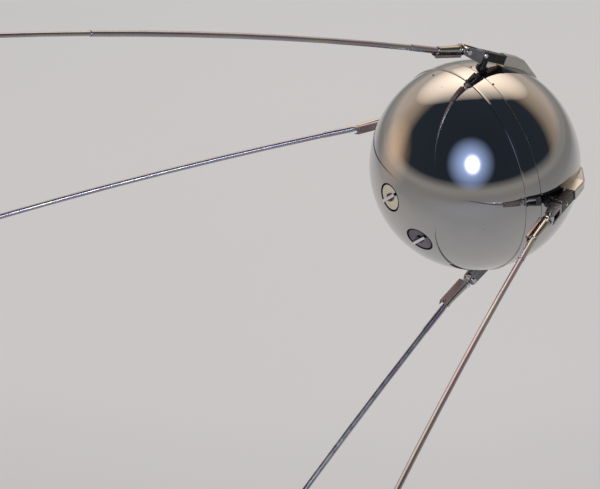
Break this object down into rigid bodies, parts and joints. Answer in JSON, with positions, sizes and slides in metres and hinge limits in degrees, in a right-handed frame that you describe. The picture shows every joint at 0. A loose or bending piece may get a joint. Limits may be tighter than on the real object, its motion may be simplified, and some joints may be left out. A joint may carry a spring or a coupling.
{
  "type": "spherical satellite with swept-back whip antennas",
  "caption": "Polished spherical satellite with long whip antennas that sweep back from hinged roots round its sides.",
  "frame": {"origin": "centre of the sphere", "axes": "+X along the axis of symmetry to the nose, away from the whips' tips; +Z to the side that carries whip 1, which is up; +Y to the side that carries whip 2"},
  "size_m": [3.0552, 2.962, 3.4034],
  "materials": {
    "polished_metal": "mirror polish",
    "shell_metal": "plain",
    "port_metal": "turned and polished",
    "bracket_metal": "polished",
    "rod_metal": "drawn tube, polished",
    "bright_steel": "bright",
    "dark_metal": "dark satin",
    "black_insulator": "satin",
    "battery_case": "plain"
  },
  "bodies": {
    "root": {"front_shell": "shell_metal", "heat_screen": "polished_metal", "aft_shell": "polished_metal", "joint_band": "polished_metal", "battery_block": "battery_case", "port_1_cup": "port_metal", "port_1_cover": "port_metal", "port_2_cup": "port_metal", "port_2_cover": "port_metal", "whip_1_bracket": "bracket_metal", "whip_1_insulator": "black_insulator", "whip_1_foot": "black_insulator", "whip_1_yoke": "dark_metal", "whip_1_pin": "bright_steel", "whip_2_bracket": "bracket_metal", "whip_2_insulator": "black_insulator", "whip_2_foot": "black_insulator", "whip_2_yoke": "dark_metal", "whip_2_pin": "bright_steel", "whip_3_bracket": "bracket_metal", "whip_3_insulator": "black_insulator", "whip_3_foot": "black_insulator", "whip_3_yoke": "dark_metal", "whip_3_pin": "bright_steel", "whip_4_bracket": "bracket_metal", "whip_4_insulator": "black_insulator", "whip_4_foot": "black_insulator", "whip_4_yoke": "dark_metal", "whip_4_pin": "bright_steel"},
    "whip_1": {"whip_1_eye": "bright_steel", "whip_1_sleeve": "rod_metal", "whip_1_plate": "dark_metal", "whip_1_rod": "rod_metal"},
    "whip_2": {"whip_2_eye": "bright_steel", "whip_2_sleeve": "rod_metal", "whip_2_plate": "dark_metal", "whip_2_rod": "rod_metal"},
    "whip_3": {"whip_3_eye": "bright_steel", "whip_3_sleeve": "rod_metal", "whip_3_plate": "dark_metal", "whip_3_rod": "rod_metal"},
    "whip_4": {"whip_4_eye": "bright_steel", "whip_4_sleeve": "rod_metal", "whip_4_plate": "dark_metal", "whip_4_rod": "rod_metal"}
  },
  "joints": [
    {"name": "whip_1_fold", "type": "hinge", "parent": "root", "child": "whip_1", "pos_m": [-0.02255, 0, 0.35705], "axis": [0, 1, 0], "range_deg": [-30, 0], "stiffness_Nm_per_rad": 30, "springref_deg": 68.75},
    {"name": "whip_2_fold", "type": "hinge", "parent": "root", "child": "whip_2", "pos_m": [-0.02255, 0.35705, 0], "axis": [0, 0, -1], "range_deg": [-30, 0], "stiffness_Nm_per_rad": 30, "springref_deg": 68.75},
    {"name": "whip_3_fold", "type": "hinge", "parent": "root", "child": "whip_3", "pos_m": [-0.02255, 0, -0.35705], "axis": [0, -1, 0], "range_deg": [-30, 0], "stiffness_Nm_per_rad": 30, "springref_deg": 68.75},
    {"name": "whip_4_fold", "type": "hinge", "parent": "root", "child": "whip_4", "pos_m": [-0.02255, -0.35705, 0], "axis": [0, 0, 1], "range_deg": [-30, 0], "stiffness_Nm_per_rad": 30, "springref_deg": 68.75}
  ]
}
